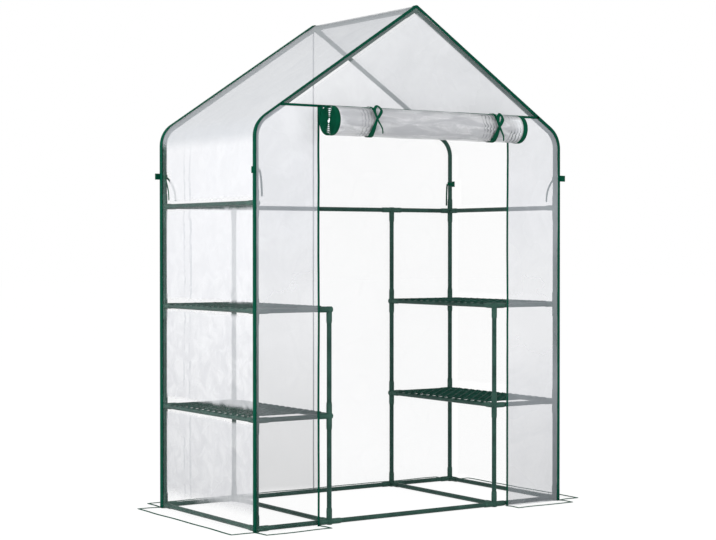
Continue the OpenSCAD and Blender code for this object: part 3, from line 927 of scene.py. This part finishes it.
def tapeSpan(turn):
    outermost = smoothStep(turn, roll["turns"] - 1.1, roll["turns"] - 0.9)
    width = roll["innerTape"] + (roll["edgeTape"] - roll["innerTape"]) * outermost
    return [doorEnd - width * (1 - i / 3) for i in range(4)]


rollSheet = gridSheet("doorRoll", rollRows(filmSpan), rollFilm, flip=True)
wear(rollSheet, "film", "door_roll")
edgeRows = [rollRows(lambda turn: [-x for x in tapeSpan(turn)[::-1]]), rollRows(tapeSpan)]
for side, rows in zip(("Left", "Right"), edgeRows):
    tape = gridSheet("doorEdge" + side, rows, webbingWeave, flip=True)
    thicken = tape.modifiers.new("fold", "SOLIDIFY")
    thicken.thickness = roll["tapeThick"]
    thicken.offset = 0.0
    ready = tape.evaluated_get(bpy.context.evaluated_depsgraph_get())
    folded = bpy.data.meshes.new_from_object(ready)
    tape.modifiers.remove(thicken)
    tape.data = folded
    wear(tape, "binding", "door_roll")
rollLength = sum((b[0] - a[0]).length for a, b in zip(edgeRows[0], edgeRows[0][1:]))
print("door rolled: %.2f m of film" % rollLength)


# ties round the roll in millimetres: (offset along the roll, degrees round it, height off the film, width)
tieShape = {
    "thick": 0.0013, "bows": ((1.0, 0, 1.0), (0.7, 6, 1.25)),
    "sling": [(4, 40, 0.4, 20), (5, 0, 0.4, 20), (6, -45, 0.4, 20), (5, -90, 0.4, 21), (-5, -122, 0.6, 21),
              (-9, -150, 1.0, 18), (-4, -172, 1.8, 12), (0, -185, 2.5, 9)],
    "bow": [(8, -196, 7.5, 11), (16, -207, 13, 12), (18, -213, 15, 12), (10, -221, 20, 11),
            (1, -224, 21.5, 11), (-9, -218, 16, 11), (-9, -206, 10, 10), (-2, -192, 5.9, 9),
            (0, -185, 4.6, 8)],
    "strand": [(4, -278, 0.4, 9), (1, -250, 0.6, 10), (-2, -236, 1.2, 11), (-3, -212, 2.5, 11),
               (0, -186, 6.5, 9), (12, -168, 8, 6), (20, -156, 12.2, 5.5), (22, -144, 20.8, 5)]}


def tieTape(spot, controls, bow, drop, broad):
    path, lift, widths = [], [], []
    nominal = 0.01
    for dx, degrees, off, width in smoothPath(controls, 6):
        angle = math.radians(degrees + drop)
        out = Vector((0, math.cos(angle), math.sin(angle)))
        x = spot + dx * bow / 1000
        radius = rollRadius * rollSwell(x, angle) + off / 1000 + tieShape["thick"]
        path.append(Vector((x, rollY, rollZ)) + out * radius)
        lift.append(out)
        widths.append(broad * width / 1000 / nominal)
    across = [t.cross(up).normalized() for t, up in zip(tangents(path), lift)]
    lift = [side.cross(t) for side, t in zip(across, tangents(path))]
    return (path, [side * w for side, w in zip(across, widths)], lift, nominal, tieShape["thick"])


tieTapes = []
for spot, (bow, drop, broad) in zip(tieSpots, tieShape["bows"]):
    tieTapes.append(tieTape(spot, tieShape["sling"] + tieShape["bow"], bow, drop, broad))
    tieTapes.append(tieTape(spot, tieShape["strand"], 1.0, drop, broad))
wear(tapePiece("doorTies", tieTapes, webbingWeave), "strap", "door_ties")


# straps on the corner posts: a folded tab outside the film, a tape tied round the post and its tails inside
strap = {"tabWidth": 0.024, "thick": 0.0016, "tapeWidth": 0.013, "tailLength": 0.095,
         "tabReach": {(-1, -1): 0.016, (-1, 1): 0.021, (1, -1): 0.026, (1, 1): 0.024},
         "spread": {(-1, -1): (None, 0.010), (-1, 1): (0.046, 0.046),
                    (1, -1): (None, 0.046), (1, 1): (None, 0.004)}}
strapLevel = strapTop - strap["tabWidth"] / 2


def cornerTapes(sideX, sideY):
    outX, outY = Vector((sideX, 0, 0)), Vector((0, sideY, 0))
    up = Vector((0, 0, 1))
    post = Vector((sideX * postX, sideY * postY, strapLevel))
    edge = Vector((sideX * halfWidth, sideY * (halfDepth + 0.0028), strapLevel))
    reach = strap["tabReach"][(sideX, sideY)]
    tab = [edge + outX * (reach * i / 6) + outY * 0.0009 * math.sin(i) for i in range(7)]
    tapes = [(tab, [up] * 7, [outY] * 7, strap["tabWidth"], strap["thick"] * 1.6)]
    ringRadius = tubeRadius + strap["thick"]
    ring, ringLift = [], []
    for i in range(25):
        a = 2 * math.pi * i / 24
        ringLift.append(Vector((math.cos(a), math.sin(a), 0)))
        ring.append(post + ringLift[-1] * ringRadius + up * 0.002 * math.sin(a))
    tapes.append((ring, [up] * 25, ringLift, strap["tapeWidth"], strap["thick"]))
    for inward, beside, spread in zip((outY, outX), (outX, outY), strap["spread"][(sideX, sideY)]):
        if spread is None:
            continue
        wallGap = halfWidth - postX if beside.x else halfDepth - postY
        wallGap = wallGap - filmThick - 0.002
        tail = []
        for i in range(13):
            t = i / 12
            reach = 0.008 + spread * (1 - (1 - t) ** 2)
            tail.append(post + beside * wallGap - inward * reach - up * strap["tailLength"] * t ** 1.25)
        across = [beside.cross(t).normalized() for t in tangents(tail)]
        tapes.append((tail, across, [beside] * 13, strap["tapeWidth"] * 0.6, strap["thick"]))
    return tapes


cornerTape = [tape for sideX in (-1, 1) for sideY in (-1, 1) for tape in cornerTapes(sideX, sideY)]
wear(tapePiece("cornerStraps", cornerTape, webbingWeave), "strap", "corner_straps")
print("ties and straps made")


# shelf meshes: diamond wires welded to border wires, hooked over the side rails
shelfWire = {"radius": 0.00155, "pitch": 0.043, "hookTurn": 60, "hookSteps": 6}


def shelfLines(meshName):
    low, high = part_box(meshName)
    middle = (low + high) / 2
    railX = (high.x - low.x) / 2 - tubeRadius
    halfLength = (high.y - low.y) / 2
    level = low.z + shelfWire["radius"]
    hookRadius = tubeRadius + shelfWire["radius"] + 0.0003
    lines = []
    hooks = set()
    count = math.ceil((railX + halfLength) / shelfWire["pitch"])
    for slant in (-1, 1):
        for i in range(-count, count + 1):
            start = i * shelfWire["pitch"]
            t0 = max(-halfLength, min((-railX - start) * slant, (railX - start) * slant))
            t1 = min(halfLength, max((-railX - start) * slant, (railX - start) * slant))
            if t1 - t0 < 0.004:
                continue
            rise = shelfWire["radius"] * 0.5 * slant
            ends = [Vector((middle.x + start + slant * t, middle.y + t, level + rise)) for t in (t0, t1)]
            lines.append(ends)
            for p in ends:
                if abs(abs(p.x - middle.x) - railX) < 1e-4:
                    hooks.add((round(p.y, 4), 1 if p.x > middle.x else -1))
    for y, side in sorted(hooks):
        centre = Vector((middle.x + side * railX, y, level - hookRadius))
        arc = [centre + Vector((-side * hookRadius * 1.5, 0, hookRadius * 0.86))]
        for k in range(shelfWire["hookSteps"] + 1):
            a = math.radians(90 - shelfWire["hookTurn"] * k / shelfWire["hookSteps"])
            arc.append(centre + Vector((side * hookRadius * math.cos(a), 0, hookRadius * math.sin(a))))
        lines.append(arc)
    borderX = railX - tubeRadius - 2 * shelfWire["radius"]
    for side in (-1, 1):
        x = middle.x + side * borderX
        lines.append([Vector((x, middle.y - halfLength, level)), Vector((x, middle.y + halfLength, level))])
        y = middle.y + side * halfLength
        lines.append([Vector((middle.x - railX, y, level)), Vector((middle.x + railX, y, level))])
    return lines


for meshNode in ("lower_left_mesh", "lower_right_mesh", "upper_left_mesh", "upper_right_mesh"):
    words = meshNode.split("_")
    wires = growAlong("shelf" + words[0].title() + words[1].title(), shelfLines(meshNode), wireTree,
                      {"Wire radius": shelfWire["radius"]}, wireCoat)
    wear(wires, "mesh", meshNode)
print("shelf meshes made")


# plain pale floor: white to the eye, but it keeps the shadow
def seenStraight(look):
    path = look.node("LightPath").socket.node
    rays = ("Is Camera Ray", "Is Glossy Ray", "Is Transmission Ray")
    seen = [Wire(look, path.outputs[ray]) for ray in rays]
    return seen[0].atLeast(seen[1]).atLeast(seen[2])


def makeFloorPaint():
    look = Look("floorPaint")
    matte = look.node("BsdfDiffuse", {}, {"Color": (0.9, 0.9, 0.9, 1)})
    glow = look.node("Emission", {}, {"Color": (1, 1, 1, 1), "Strength": 1.085})
    surface = look.node("MixShader", {}, {0: seenStraight(look) * 0.86, 1: matte, 2: glow})
    look.node("OutputMaterial", {}, {"Surface": surface})
    return look.owner


floorSize = 40.0
floorMesh = bpy.data.meshes.new("floor")
floorCorners = [(x * floorSize, y * floorSize, 0) for x, y in ((-1, -1), (1, -1), (1, 1), (-1, 1))]
floorMesh.from_pydata(floorCorners, [], [(0, 1, 2, 3)])
addObject("floor", floorMesh, makeFloorPaint())


# soft studio: white surround for the eye, dimmer for the light that falls on the film
def makeWorld():
    look = Look("studio", bpy.data.worlds.new("studio"))
    dim = look.node("Background", {}, {"Color": (1, 1, 1, 1), "Strength": 0.55})
    white = look.node("Background", {}, {"Color": (1, 1, 1, 1), "Strength": 1.0})
    surface = look.node("MixShader", {}, {0: seenStraight(look), 1: dim, 2: white})
    look.node("OutputWorld", {}, {"Surface": surface})
    bpy.context.scene.world = look.owner


def addLamp(name, place, aim, size, power):
    data = bpy.data.lights.new(name, "AREA")
    data.shape = "RECTANGLE"
    data.size, data.size_y = size
    data.energy = power
    lamp = bpy.data.objects.new(name, data)
    lamp.location = place
    lamp.rotation_euler = (Vector(aim) - Vector(place)).to_track_quat("-Z", "Y").to_euler()
    bpy.context.scene.collection.objects.link(lamp)


makeWorld()
addLamp("keyLamp", (-4.5, -1.2, 2.6), (0, 0, 1.0), (2.5, 2.5), 130)
addLamp("fillLamp", (1.8, -5.0, 3.2), (0, 0, 0.9), (3.0, 2.0), 70)

# camera solved from the feet of the posts and the ridge
eye = {"place": (-3.867, -5.693, 1.027), "heading": 34.03, "pitch": -0.754, "lens": 86.66}
cameraData = bpy.data.cameras.new("camera")
cameraData.lens = eye["lens"]
cameraData.sensor_width = 36.0
camera = bpy.data.objects.new("camera", cameraData)
camera.location = eye["place"]
heading = math.radians(eye["heading"])
gaze = Vector((math.sin(heading), math.cos(heading), math.tan(math.radians(eye["pitch"]))))
camera.rotation_euler = gaze.to_track_quat("-Z", "Y").to_euler()
bpy.context.scene.collection.objects.link(camera)
bpy.context.scene.camera = camera
bpy.context.scene.view_settings.view_transform = "Standard"

print("scene ready")
